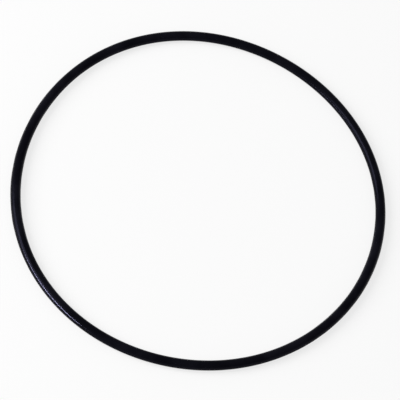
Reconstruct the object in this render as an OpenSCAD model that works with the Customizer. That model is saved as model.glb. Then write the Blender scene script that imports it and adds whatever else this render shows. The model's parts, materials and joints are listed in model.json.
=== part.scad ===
// Moulded rubber o-ring: one closed ring of round cord, lying flat.
// The ring's axis is Z, and its centre, on the mould's parting plane, is the origin.

/* [Ring] */
// Inside diameter of the free ring, as seal sizes state it
inside_diameter = 126.59; // [30:0.01:300]
// Diameter of the round cord
cord_diameter = 3.53; // [1.5:0.01:7]

/* [Moulding line] */
// How far the trimmed flash stands out from the cord, inside and outside the ring
flash_height = 0.08; // [0.02:0.01:0.15]
// Thickness of the trimmed flash, across the parting plane
flash_thickness = 0.16; // [0.06:0.01:0.3]

/* [Hidden] */
ring_facets = 360;
cord_facets = 72;
cord_radius = cord_diameter / 2;
cord_centre_radius = inside_diameter / 2 + cord_radius;
flash_span = cord_diameter + 2 * flash_height;
rubber_black = [0.02, 0.02, 0.024];

// Section of the cord: a true circle, with the flash as one thin fin through its middle.
// Both halves of the mould meet at the fin, which leaves a narrow land at the ring's
// smallest and largest diameters.
module cord_section() {
    circle(d = cord_diameter, $fn = cord_facets);
    square([flash_span, flash_thickness], center = true);
}

module o_ring() {
    color(rubber_black)
        rotate_extrude($fn = ring_facets)
            translate([cord_centre_radius, 0])
                cord_section();
}

o_ring();
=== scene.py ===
"""A moulded black rubber o-ring, lying flat on white paper in soft light from the left."""

import json
import math
from functools import partial

import bpy
from bpy.props import BoolProperty, FloatProperty, FloatVectorProperty, IntProperty, PointerProperty
from mathutils import Matrix, Vector


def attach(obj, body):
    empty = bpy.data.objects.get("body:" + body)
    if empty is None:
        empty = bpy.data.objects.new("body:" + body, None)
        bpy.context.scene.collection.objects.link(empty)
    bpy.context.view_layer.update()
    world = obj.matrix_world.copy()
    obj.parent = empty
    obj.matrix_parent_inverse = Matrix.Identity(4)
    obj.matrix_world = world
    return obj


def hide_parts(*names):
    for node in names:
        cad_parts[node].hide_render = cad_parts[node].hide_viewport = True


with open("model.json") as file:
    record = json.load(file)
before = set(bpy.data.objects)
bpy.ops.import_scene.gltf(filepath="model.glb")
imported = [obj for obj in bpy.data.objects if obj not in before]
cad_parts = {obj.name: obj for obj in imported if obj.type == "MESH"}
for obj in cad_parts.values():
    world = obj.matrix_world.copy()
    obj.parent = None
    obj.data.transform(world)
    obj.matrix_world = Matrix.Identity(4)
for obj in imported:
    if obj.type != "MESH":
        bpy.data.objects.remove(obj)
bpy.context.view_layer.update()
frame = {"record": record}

bl_info = {
    "name": "Moulded O-Ring",
    "version": (1, 0, 0),
    "blender": (4, 5, 0),
    "location": "3D View > Sidebar > O-Ring",
    "description": "A rubber o-ring with its moulding line and satin finish, on a white stage",
    "category": "Object",
}

SEATS = {mount["name"]: mount["dims"] for mount in frame["record"]["mounts"]}
MM = 0.001
FLASH_HEIGHT = 0.08 * MM
CORD_RADIUS = (SEATS["outer_seat"]["r_mm"] - SEATS["inner_seat"]["r_mm"]) * MM / 2 - FLASH_HEIGHT
TRIM_SEED = 7
CAMERA_FRAME_MM = 36.0
BODY = "root"
NODE = "o_ring"
SECTION = "cord_section"


class RingShape(bpy.types.PropertyGroup):
    """Sizes of the ring, in the state in which it lies unstretched."""

    inner_land: FloatProperty(
        name="Inner Land Radius",
        description="Radius of the moulding line's land inside the ring",
        default=SEATS["inner_seat"]["r_mm"] * MM, subtype="DISTANCE", unit="LENGTH", precision=5)
    outer_land: FloatProperty(
        name="Outer Land Radius",
        description="Radius of the moulding line's land outside the ring",
        default=SEATS["outer_seat"]["r_mm"] * MM, subtype="DISTANCE", unit="LENGTH", precision=5)
    flash_height: FloatProperty(
        name="Flash Height",
        description="How far the trimmed flash stands out from the round cord",
        default=FLASH_HEIGHT, subtype="DISTANCE", unit="LENGTH", precision=5)
    flash_thickness: FloatProperty(
        name="Flash Thickness",
        description="Thickness of the trimmed flash across the parting plane",
        default=SEATS["inner_seat"]["length_mm"] * MM,
        subtype="DISTANCE", unit="LENGTH", precision=5)
    flash_unevenness: FloatProperty(
        name="Flash Unevenness",
        description="Share of the flash height that the trimming takes off here and there",
        default=0.55, min=0.0, max=1.0, subtype="FACTOR")
    three_lobed_lie: FloatProperty(
        name="Three-Lobed Lie",
        description="How far the soft ring lies out of round in three wide lobes",
        default=0.394 * MM, subtype="DISTANCE", unit="LENGTH", precision=5)
    three_lobed_turn: FloatProperty(
        name="Three-Lobed Turn",
        description="Direction of the first of the three lobes, from +X",
        default=math.radians(-19.0), subtype="ANGLE", unit="ROTATION")
    four_lobed_lie: FloatProperty(
        name="Four-Lobed Lie",
        description="How far the soft ring lies out of round in four lobes",
        default=0.14 * MM, subtype="DISTANCE", unit="LENGTH", precision=5)
    four_lobed_turn: FloatProperty(
        name="Four-Lobed Turn",
        description="Direction of the first of the four lobes, from +X",
        default=math.radians(19.6), subtype="ANGLE", unit="ROTATION")
    ring_points: IntProperty(
        name="Ring Points", description="Sections along the ring", default=720, min=90, max=900)
    cord_points: IntProperty(
        name="Cord Points", description="Points round the cord", default=96, min=32, max=128)


class RubberFinish(bpy.types.PropertyGroup):
    """Finish of the moulded rubber."""

    colour: FloatVectorProperty(
        name="Rubber Colour", description="Carbon-black rubber",
        default=(0.0024, 0.0024, 0.0038), size=3, min=0.0, max=1.0, subtype="COLOR")
    bloom_colour: FloatVectorProperty(
        name="Bloom Colour", description="Thin grey bloom where the rubber has aged a little",
        default=(0.006, 0.006, 0.009), size=3, min=0.0, max=1.0, subtype="COLOR")
    sheen_tint: FloatVectorProperty(
        name="Sheen Tint", description="Cool tint of the rubber's gloss",
        default=(0.60, 0.59, 1.0), size=3, min=0.0, max=1.0, subtype="COLOR")
    gloss: FloatProperty(
        name="Gloss Level", description="Strength of the gloss, where 0.5 is plain plastic",
        default=0.05, min=0.0, max=1.0, subtype="FACTOR")
    roughness: FloatProperty(
        name="Roughness", description="Roughness of the moulded skin",
        default=0.20, min=0.0, max=1.0, subtype="FACTOR")
    grain_size: FloatProperty(
        name="Grain Size", description="Width of one grain of the moulded skin",
        default=0.13 * MM, subtype="DISTANCE", unit="LENGTH", precision=5)
    grain_depth: FloatProperty(
        name="Grain Depth", description="Depth of the grain",
        default=0.006 * MM, subtype="DISTANCE", unit="LENGTH", precision=6)
    tool_mark_spacing: FloatProperty(
        name="Tool Mark Spacing",
        description="Distance between the turned mould's fine marks round the cord",
        default=0.11 * MM, subtype="DISTANCE", unit="LENGTH", precision=5)
    tool_mark_depth: FloatProperty(
        name="Tool Mark Depth", description="Depth of the turned mould's fine marks",
        default=0.002 * MM, subtype="DISTANCE", unit="LENGTH", precision=6)


class StageSetup(bpy.types.PropertyGroup):
    """Camera, paper and the even light of the room."""

    camera_azimuth: FloatProperty(
        name="Camera Azimuth", description="Direction in which the camera stands, from +X",
        default=math.radians(-106.2), subtype="ANGLE", unit="ROTATION")
    camera_elevation: FloatProperty(
        name="Camera Elevation", description="Height of the camera above the paper, as an angle",
        default=math.radians(62.46), subtype="ANGLE", unit="ROTATION")
    camera_roll: FloatProperty(
        name="Camera Roll", description="Turn of the camera about its own line of sight",
        default=math.radians(16.1), subtype="ANGLE", unit="ROTATION")
    camera_distance: FloatProperty(
        name="Camera Distance", description="Distance from the camera to the point it aims at",
        default=0.955, subtype="DISTANCE", unit="LENGTH")
    camera_lens: FloatProperty(
        name="Camera Lens", description="Focal length on a 36 mm wide frame",
        default=242.4, min=1.0, unit="CAMERA")
    aim_right: FloatProperty(
        name="Aim Right", description="How far the camera aims to the right of the ring's centre",
        default=0.648 * MM, subtype="DISTANCE", unit="LENGTH", precision=5)
    aim_up: FloatProperty(
        name="Aim Up", description="How far the camera aims above the ring's centre",
        default=-0.393 * MM, subtype="DISTANCE", unit="LENGTH", precision=5)
    paper_colour: FloatVectorProperty(
        name="Paper Colour", description="White of the paper",
        default=(0.985, 0.985, 0.985), size=3, min=0.0, max=1.0, subtype="COLOR")
    paper_glow: FloatProperty(
        name="Paper Glow",
        description="Share of plain white in the paper near the ring, which softens its shadows",
        default=0.75, min=0.0, max=1.0, subtype="FACTOR")
    clear_radius: FloatProperty(
        name="Clear Radius",
        description="Distance from the ring's centre at which the paper is seen as plain white",
        default=1.5, subtype="DISTANCE", unit="LENGTH")
    paper_radius: FloatProperty(
        name="Paper Radius", description="Radius of the flat part of the round sheet of paper",
        default=6.0, subtype="DISTANCE", unit="LENGTH")
    paper_rise: FloatProperty(
        name="Paper Rise", description="Height to which the sheet curves up at its edge",
        default=1.5, subtype="DISTANCE", unit="LENGTH")
    room_level: FloatProperty(
        name="Room Level", description="Share of the paper's light that comes evenly from the room",
        default=0.40, min=0.0, max=2.0)


def soft_light(
        label, azimuth, elevation, distance, width, height, level,
        lights_paper=True, tilt=0.0, spread=180.0):
    """A property group for one soft light, seen from the ring.

    Angles are in degrees and sizes in metres.
    """
    sizes = {"subtype": "DISTANCE", "unit": "LENGTH"}
    angles = {"subtype": "ANGLE", "unit": "ROTATION"}
    annotations = {
        "azimuth": FloatProperty(
            name=label + " Azimuth", description="Direction of the light from the ring, from +X",
            default=math.radians(azimuth), **angles),
        "elevation": FloatProperty(
            name=label + " Elevation",
            description="Height of the light above the paper, as an angle",
            default=math.radians(elevation), **angles),
        "distance": FloatProperty(
            name=label + " Distance", description="Distance from the ring to the light",
            default=distance, **sizes),
        "width": FloatProperty(
            name=label + " Width", description="Width of the light", default=width, **sizes),
        "height": FloatProperty(
            name=label + " Height", description="Height of the light", default=height, **sizes),
        "level": FloatProperty(
            name=label + " Level",
            description="Brightness that the light alone gives to white paper at the ring's centre,"
            " when it faces the centre and has no grid",
            default=level, min=0.0, max=2.0),
        "tilt": FloatProperty(
            name=label + " Tilt",
            description="How much further down than towards the ring's centre the light faces",
            default=math.radians(tilt), **angles),
        "spread": FloatProperty(
            name=label + " Spread",
            description="Angle of the cone in which a grid lets the light out, or 180 for no grid",
            default=math.radians(spread), min=0.0, max=math.pi, **angles),
        "lights_paper": BoolProperty(
            name=label + " Lights Paper",
            description="Off for a pale card that shows in the rubber's gloss only",
            default=lights_paper),
    }
    return type(
        label + "Light", (bpy.types.PropertyGroup,),
        {"__doc__": label + " light.", "__annotations__": annotations})


WindowLight = soft_light(
    "Window", azimuth=172.5, elevation=35.4, distance=1.3, width=0.85, height=0.85, level=0.60)
CardLight = soft_light(
    "Card", azimuth=203.2, elevation=8.7, distance=0.13, width=0.096, height=0.0096, level=0.140,
    lights_paper=False, tilt=26.0, spread=64.0)


def add(tree, kind, *values, **settings):
    """Adds a node to the tree, with these settings.

    Each value goes to the input of its place: a socket is linked, and None is left as it is.
    """
    node = tree.nodes.new(kind)
    for name, setting in settings.items():
        setattr(node, name, setting)
    for socket, value in zip(node.inputs, values):
        if isinstance(value, bpy.types.NodeSocket):
            tree.links.new(value, socket)
        elif value is not None:
            socket.default_value = value
    return node


def number_math(tree, operation, *values):
    """The result of a Math node, in a shape's tree or a material's."""
    return add(tree, "ShaderNodeMath", *values, operation=operation).outputs[0]


def vector_math(tree, operation, *values):
    """The result of a Vector Math node, which shows only the sockets that its operation uses."""
    node = add(tree, "ShaderNodeVectorMath", operation=operation)
    sockets = [socket for socket in node.inputs if socket.enabled]
    for socket, value in zip(sockets, values):
        if isinstance(value, bpy.types.NodeSocket):
            tree.links.new(value, socket)
        else:
            socket.default_value = value
    return [socket for socket in node.outputs if socket.enabled][0]


def smooth_step(tree, value, low, high):
    """0 where the value is at low, 1 where it is at high, and an S curve between."""
    node = add(tree, "ShaderNodeMapRange", value, low, high, interpolation_type="SMOOTHSTEP")
    return node.outputs[0]


def ring_tree():
    """The ring as a node tree: a round path, the cord's section swept along it, and its flash."""
    tree = bpy.data.node_groups.new("moulded_ring", "GeometryNodeTree")
    sizes = (
        "Inner Land Radius", "Outer Land Radius",
        "Flash Height", "Flash Thickness", "Flash Unevenness",
        "Three-Lobed Lie", "Three-Lobed Turn", "Four-Lobed Lie", "Four-Lobed Turn")
    counts = ("Ring Points", "Cord Points", "Seed")
    for name in sizes:
        tree.interface.new_socket(name, in_out="INPUT", socket_type="NodeSocketFloat")
    for name in counts:
        tree.interface.new_socket(name, in_out="INPUT", socket_type="NodeSocketInt")
    tree.interface.new_socket("Material", in_out="INPUT", socket_type="NodeSocketMaterial")
    tree.interface.new_socket("Geometry", in_out="OUTPUT", socket_type="NodeSocketGeometry")
    given = {socket.name: socket for socket in tree.nodes.new("NodeGroupInput").outputs}
    m = partial(number_math, tree)

    inner_land = given["Inner Land Radius"]
    outer_land = given["Outer Land Radius"]
    path_radius = m("MULTIPLY", m("ADD", inner_land, outer_land), 0.5)
    half_span = m("MULTIPLY", m("SUBTRACT", outer_land, inner_land), 0.5)
    cord_radius = m("SUBTRACT", half_span, given["Flash Height"])

    position = add(tree, "GeometryNodeInputPosition").outputs[0]
    axes = add(tree, "ShaderNodeSeparateXYZ", position).outputs
    turn = m("ARCTAN2", axes[1], axes[0])
    outward = add(tree, "ShaderNodeCombineXYZ", m("COSINE", turn), m("SINE", turn), 0.0).outputs[0]

    def lobes(count, name):
        wave = m("COSINE", m("MULTIPLY", m("SUBTRACT", turn, given[name + " Turn"]), float(count)))
        return m("MULTIPLY", wave, given[name + " Lie"])

    lie = m("ADD", lobes(3, "Three-Lobed"), lobes(4, "Four-Lobed"))
    circle = add(tree, "GeometryNodeCurvePrimitiveCircle", given["Ring Points"], mode="RADIUS")
    tree.links.new(path_radius, circle.inputs["Radius"])
    path = add(
        tree, "GeometryNodeSetPosition", circle.outputs["Curve"], None, None,
        vector_math(tree, "SCALE", outward, lie)).outputs[0]

    # The section's points crowd together at the parting plane, where the thin flash is.
    crowding = 0.8
    index = add(tree, "GeometryNodeInputIndex").outputs[0]
    share = m("DIVIDE", index, given["Cord Points"])
    even_angle = m("MULTIPLY", share, math.tau)
    crowded = m("MULTIPLY", m("SINE", m("MULTIPLY", even_angle, 2.0)), crowding / 2)
    angle = m("SUBTRACT", even_angle, crowded)
    section_point = add(
        tree, "ShaderNodeCombineXYZ", m("MULTIPLY", m("COSINE", angle), cord_radius),
        m("MULTIPLY", m("SINE", angle), cord_radius), 0.0).outputs[0]
    section = add(tree, "GeometryNodeCurvePrimitiveCircle", given["Cord Points"], mode="RADIUS")
    placed = add(
        tree, "GeometryNodeSetPosition", section.outputs["Curve"], None, section_point).outputs[0]
    marked = add(
        tree, "GeometryNodeStoreNamedAttribute", placed, None, SECTION, section_point,
        data_type="FLOAT_VECTOR", domain="POINT").outputs[0]
    tube = add(tree, "GeometryNodeCurveToMesh", path, marked).outputs[0]

    # The flash is a fin with slightly rounded corners, on the ring's inner and outer side.
    corner_share = 0.25
    from_axis = vector_math(
        tree, "LENGTH", vector_math(tree, "MULTIPLY", position, (1.0, 1.0, 0.0)))
    side = m("SIGN", m("SUBTRACT", from_axis, m("ADD", path_radius, lie)))
    edge = m("MULTIPLY", given["Flash Thickness"], 0.5)
    fin = smooth_step(
        tree, m("ABSOLUTE", axes[2]),
        m("MULTIPLY", edge, 1.0 + corner_share), m("MULTIPLY", edge, 1.0 - corner_share))

    # Its trimming follows noise on a circle, whose radius in patches sets how many there are.
    trim_radius = 9.0
    trim_detail = 5.0
    trim_start = 0.35
    trim_full = 0.65
    around = vector_math(tree, "SCALE", outward, trim_radius)
    trim = add(
        tree, "ShaderNodeTexNoise", around, m("ADD", given["Seed"], side), noise_dimensions="4D")
    trim.inputs["Scale"].default_value = 1.0
    trim.inputs["Detail"].default_value = trim_detail
    trimmed = smooth_step(tree, trim.outputs[0], trim_start, trim_full)
    left = m("SUBTRACT", 1.0, m("MULTIPLY", trimmed, given["Flash Unevenness"]))
    height = m("MULTIPLY", m("MULTIPLY", given["Flash Height"], left), m("MULTIPLY", fin, side))
    flashed = add(
        tree, "GeometryNodeSetPosition", tube, None, None,
        vector_math(tree, "SCALE", outward, height)).outputs[0]

    smooth = add(tree, "GeometryNodeSetShadeSmooth", flashed).outputs[0]
    real = add(tree, "GeometryNodeRealizeInstances", smooth).outputs[0]
    finished = add(tree, "GeometryNodeSetMaterial", real, None, given["Material"]).outputs[0]
    add(tree, "NodeGroupOutput", finished)
    return tree


def mesh_from_tree(name, tree, values):
    """Runs the tree once with these named inputs and returns a plain mesh object."""
    shape = bpy.data.objects.new(name, bpy.data.meshes.new(name))
    bpy.context.scene.collection.objects.link(shape)
    modifier = shape.modifiers.new(tree.name, "NODES")
    modifier.node_group = tree
    for socket in tree.interface.items_tree:
        if socket.item_type == "SOCKET" and socket.in_out == "INPUT":
            modifier[socket.identifier] = values[socket.name]
    shape.update_tag()
    bpy.context.view_layer.update()
    evaluated = shape.evaluated_get(bpy.context.evaluated_depsgraph_get())
    mesh = bpy.data.meshes.new_from_object(evaluated)
    shape.modifiers.clear()
    shape.data = mesh
    mesh.name = name
    return shape


def rubber_material(finish):
    """Satin black rubber: mould grain, the turned mould's fine marks and a faint bloom."""
    material = bpy.data.materials.new("black_rubber")
    material.use_nodes = True
    tree = material.node_tree
    tree.nodes.clear()
    m = partial(number_math, tree)

    def noise(vector, scale, detail, w=None):
        node = add(tree, "ShaderNodeTexNoise", noise_dimensions="4D" if w is not None else "3D")
        tree.links.new(vector, node.inputs["Vector"])
        if w is not None:
            tree.links.new(w, node.inputs["W"])
        node.inputs["Scale"].default_value = scale
        node.inputs["Detail"].default_value = detail
        return node.outputs[0]

    # The marks are long and narrow: they run round the ring and change quickly across the cord.
    mark_length = 9.0 * MM
    path_radius = (SEATS["inner_seat"]["r_mm"] + SEATS["outer_seat"]["r_mm"]) * MM / 2
    along = path_radius / mark_length
    per_metre = 1.0 / finish.tool_mark_spacing
    place = add(tree, "ShaderNodeTexCoord").outputs["Object"]
    axes = add(tree, "ShaderNodeSeparateXYZ", place).outputs
    turn = m("ARCTAN2", axes[1], axes[0])
    section = add(tree, "ShaderNodeAttribute", attribute_name=SECTION).outputs["Vector"]
    across = add(tree, "ShaderNodeSeparateXYZ", section).outputs
    mark_place = add(
        tree, "ShaderNodeCombineXYZ", m("MULTIPLY", m("COSINE", turn), along),
        m("MULTIPLY", m("SINE", turn), along), m("MULTIPLY", across[0], per_metre)).outputs[0]
    marks = noise(mark_place, scale=1.0, detail=2.0, w=m("MULTIPLY", across[1], per_metre))
    grain = noise(place, scale=1.0 / finish.grain_size, detail=3.0)

    # The bloom comes in small patches, gathered in wider clouds.
    patches_per_metre = 150.0
    clouds_per_metre = 45.0
    patch_share = 0.6
    cloud_share = 0.4
    bloom_start = 0.38
    bloom_full = 0.68
    patches = noise(place, scale=patches_per_metre, detail=4.0)
    clouds = noise(place, scale=clouds_per_metre, detail=2.0)
    gathered = m("ADD", m("MULTIPLY", patches, patch_share), m("MULTIPLY", clouds, cloud_share))
    bloom = smooth_step(tree, gathered, bloom_start, bloom_full)
    colour = add(tree, "ShaderNodeMix", data_type="RGBA")
    tree.links.new(bloom, colour.inputs["Factor"])
    inputs = {socket.identifier: socket for socket in colour.inputs}
    inputs["A_Color"].default_value = (*finish.colour, 1.0)
    inputs["B_Color"].default_value = (*finish.bloom_colour, 1.0)
    result = {socket.identifier: socket for socket in colour.outputs}["Result_Color"]

    # Grain and bloom vary the roughness on both sides of its set value.
    grain_roughness = 0.10
    bloom_roughness = 0.06
    skin = m("MULTIPLY", m("SUBTRACT", grain, 0.5), grain_roughness)
    aged = m("MULTIPLY", bloom, bloom_roughness)
    roughness = m("ADD", m("ADD", skin, aged), finish.roughness - bloom_roughness / 2)

    mark_bump = add(tree, "ShaderNodeBump")
    mark_bump.inputs["Distance"].default_value = finish.tool_mark_depth
    tree.links.new(marks, mark_bump.inputs["Height"])
    grain_bump = add(tree, "ShaderNodeBump")
    grain_bump.inputs["Distance"].default_value = finish.grain_depth
    tree.links.new(grain, grain_bump.inputs["Height"])
    tree.links.new(mark_bump.outputs[0], grain_bump.inputs["Normal"])

    shader = add(tree, "ShaderNodeBsdfPrincipled")
    tree.links.new(result, shader.inputs["Base Color"])
    tree.links.new(roughness, shader.inputs["Roughness"])
    tree.links.new(grain_bump.outputs[0], shader.inputs["Normal"])
    shader.inputs["Specular IOR Level"].default_value = finish.gloss
    shader.inputs["Specular Tint"].default_value = (*finish.sheen_tint, 1.0)
    add(tree, "ShaderNodeOutputMaterial", shader.outputs[0])
    return material


def paper_material(setup):
    """White paper with soft shadows near the ring, seen as plain white further out."""
    near_share = 0.2
    material = bpy.data.materials.new("white_paper")
    material.use_nodes = True
    tree = material.node_tree
    tree.nodes.clear()
    diffuse = add(tree, "ShaderNodeBsdfDiffuse", (*setup.paper_colour, 1.0), 0.0)
    white = add(tree, "ShaderNodeEmission", (*setup.paper_colour, 1.0), 1.0)
    ray = add(tree, "ShaderNodeLightPath").outputs
    seen = ray["Is Camera Ray"]
    for kind in ("Is Glossy Ray", "Is Transmission Ray"):
        seen = number_math(tree, "MAXIMUM", seen, ray[kind])
    away = vector_math(tree, "LENGTH", add(tree, "ShaderNodeTexCoord").outputs["Object"])
    white_share = add(
        tree, "ShaderNodeMapRange", away,
        setup.clear_radius * near_share, setup.clear_radius, setup.paper_glow, 1.0,
        interpolation_type="SMOOTHSTEP").outputs[0]
    glow = number_math(tree, "MULTIPLY", seen, white_share)
    shader = add(tree, "ShaderNodeMixShader", glow, diffuse.outputs[0], white.outputs[0])
    add(tree, "ShaderNodeOutputMaterial", shader.outputs[0])
    return material


def direction(azimuth, elevation):
    """Unit vector from the ring's centre towards this azimuth and elevation."""
    flat = math.cos(elevation)
    return Vector((flat * math.cos(azimuth), flat * math.sin(azimuth), math.sin(elevation)))


class ORING_OT_moulded_ring(bpy.types.Operator):
    """Makes the rubber ring"""

    bl_idname = "oring.moulded_ring"
    bl_label = "Moulded Ring"
    bl_options = {"REGISTER", "UNDO"}

    def execute(self, context):
        shape = context.scene.oring_shape
        values = {
            "Inner Land Radius": shape.inner_land,
            "Outer Land Radius": shape.outer_land,
            "Flash Height": shape.flash_height,
            "Flash Thickness": shape.flash_thickness,
            "Flash Unevenness": shape.flash_unevenness,
            "Three-Lobed Lie": shape.three_lobed_lie,
            "Three-Lobed Turn": shape.three_lobed_turn,
            "Four-Lobed Lie": shape.four_lobed_lie,
            "Four-Lobed Turn": shape.four_lobed_turn,
            "Ring Points": shape.ring_points,
            "Cord Points": shape.cord_points,
            "Seed": TRIM_SEED,
            "Material": rubber_material(context.scene.oring_finish),
        }
        ring = mesh_from_tree("rubber_ring", ring_tree(), values)
        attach(ring, BODY)
        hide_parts(NODE)
        return {"FINISHED"}


class ORING_OT_stage(bpy.types.Operator):
    """Lays the paper, lights it and sets up the camera"""

    bl_idname = "oring.stage"
    bl_label = "White Stage"
    bl_options = {"REGISTER", "UNDO"}

    def execute(self, context):
        setup = context.scene.oring_stage
        self.lay_paper(context, setup)
        self.hang_light(context, "window", context.scene.oring_window)
        self.hang_light(context, "card", context.scene.oring_card)
        self.light_room(context, setup)
        self.place_camera(context, setup)
        context.scene.view_settings.view_transform = "Standard"
        return {"FINISHED"}

    def lay_paper(self, context, setup):
        """A round sheet under the cord's lowest line, flat, and curved up all round at its edge."""
        sides = 96
        steps = 12
        profile = [(setup.paper_radius, 0.0)]
        for step in range(1, steps + 1):
            bend = math.pi / 2 * step / steps
            reach = setup.paper_radius + setup.paper_rise * math.sin(bend)
            profile.append((reach, setup.paper_rise * (1 - math.cos(bend))))
        corners = []
        for radius, height in profile:
            for side in range(sides):
                turn = math.tau * side / sides
                corners.append((
                    radius * math.cos(turn), radius * math.sin(turn), height - CORD_RADIUS))
        faces = [tuple(range(sides))]
        for step in range(steps):
            for side in range(sides):
                after = (side + 1) % sides
                faces.append((
                    step * sides + side, (step + 1) * sides + side,
                    (step + 1) * sides + after, step * sides + after))
        mesh = bpy.data.meshes.new("paper")
        mesh.from_pydata(corners, [], faces)
        for face in mesh.polygons[1:]:
            face.use_smooth = True
        mesh.materials.append(paper_material(setup))
        paper = bpy.data.objects.new("paper", mesh)
        context.scene.collection.objects.link(paper)

    def hang_light(self, context, name, setup):
        """An area light that the camera doesn't see. A card shows in the rubber's gloss only."""
        towards = direction(setup.azimuth, setup.elevation)
        behind = direction(setup.azimuth, setup.elevation + setup.tilt)
        light = bpy.data.lights.new(name, "AREA")
        light.shape = "RECTANGLE"
        light.size = setup.width
        light.size_y = setup.height
        light.spread = setup.spread
        light.energy = setup.level * (math.pi * setup.distance) ** 2 / math.sin(setup.elevation)
        lamp = bpy.data.objects.new(name, light)
        lamp.location = towards * setup.distance
        lamp.rotation_euler = behind.to_track_quat("Z", "Y").to_euler()
        lamp.visible_camera = False
        lamp.visible_diffuse = setup.lights_paper
        context.scene.collection.objects.link(lamp)

    def light_room(self, context, setup):
        """An even white light from all sides."""
        world = bpy.data.worlds.new("room")
        world.use_nodes = True
        background = world.node_tree.nodes["Background"]
        background.inputs["Color"].default_value = (1.0, 1.0, 1.0, 1.0)
        background.inputs["Strength"].default_value = setup.room_level
        context.scene.world = world

    def place_camera(self, context, setup):
        """A rolled camera that aims beside the point of the paper under the ring's centre."""
        back = direction(setup.camera_azimuth, setup.camera_elevation)
        level_right = Vector((-math.sin(setup.camera_azimuth), math.cos(setup.camera_azimuth), 0.0))
        level_up = back.cross(level_right)
        cos_roll = math.cos(setup.camera_roll)
        sin_roll = math.sin(setup.camera_roll)
        right = level_right * cos_roll + level_up * sin_roll
        up = level_up * cos_roll - level_right * sin_roll
        centre = Vector((0.0, 0.0, -CORD_RADIUS))
        aim = centre + right * setup.aim_right + up * setup.aim_up
        place = aim + back * setup.camera_distance
        data = bpy.data.cameras.new("camera")
        data.lens = setup.camera_lens
        data.sensor_width = CAMERA_FRAME_MM
        camera = bpy.data.objects.new("camera", data)
        turn = Matrix((right, up, back)).transposed().to_4x4()
        camera.matrix_world = Matrix.Translation(place) @ turn
        context.scene.collection.objects.link(camera)
        context.scene.camera = camera


class ORING_PT_panel(bpy.types.Panel):
    """Lists the ring's sizes and finish, the lights and the stage, with a button for each step"""

    bl_label = "Moulded O-Ring"
    bl_idname = "ORING_PT_panel"
    bl_space_type = "VIEW_3D"
    bl_region_type = "UI"
    bl_category = "O-Ring"

    def draw(self, context):
        scene = context.scene
        groups = (
            (scene.oring_shape, None),
            (scene.oring_finish, ORING_OT_moulded_ring.bl_idname),
            (scene.oring_window, None),
            (scene.oring_card, None),
            (scene.oring_stage, ORING_OT_stage.bl_idname),
        )
        for group, operator in groups:
            column = self.layout.column(align=True)
            for name in group.__annotations__:
                column.prop(group, name)
            if operator:
                self.layout.operator(operator)


GROUPS = {
    "oring_shape": RingShape,
    "oring_finish": RubberFinish,
    "oring_window": WindowLight,
    "oring_card": CardLight,
    "oring_stage": StageSetup,
}
CLASSES = (*GROUPS.values(), ORING_OT_moulded_ring, ORING_OT_stage, ORING_PT_panel)


def register():
    for item in CLASSES:
        bpy.utils.register_class(item)
    for name, group in GROUPS.items():
        setattr(bpy.types.Scene, name, PointerProperty(type=group))


def unregister():
    for name in GROUPS:
        delattr(bpy.types.Scene, name)
    for item in reversed(CLASSES):
        bpy.utils.unregister_class(item)


def main():
    register()
    bpy.ops.oring.stage()
    bpy.ops.oring.moulded_ring()


if __name__ == "__main__":
    main()
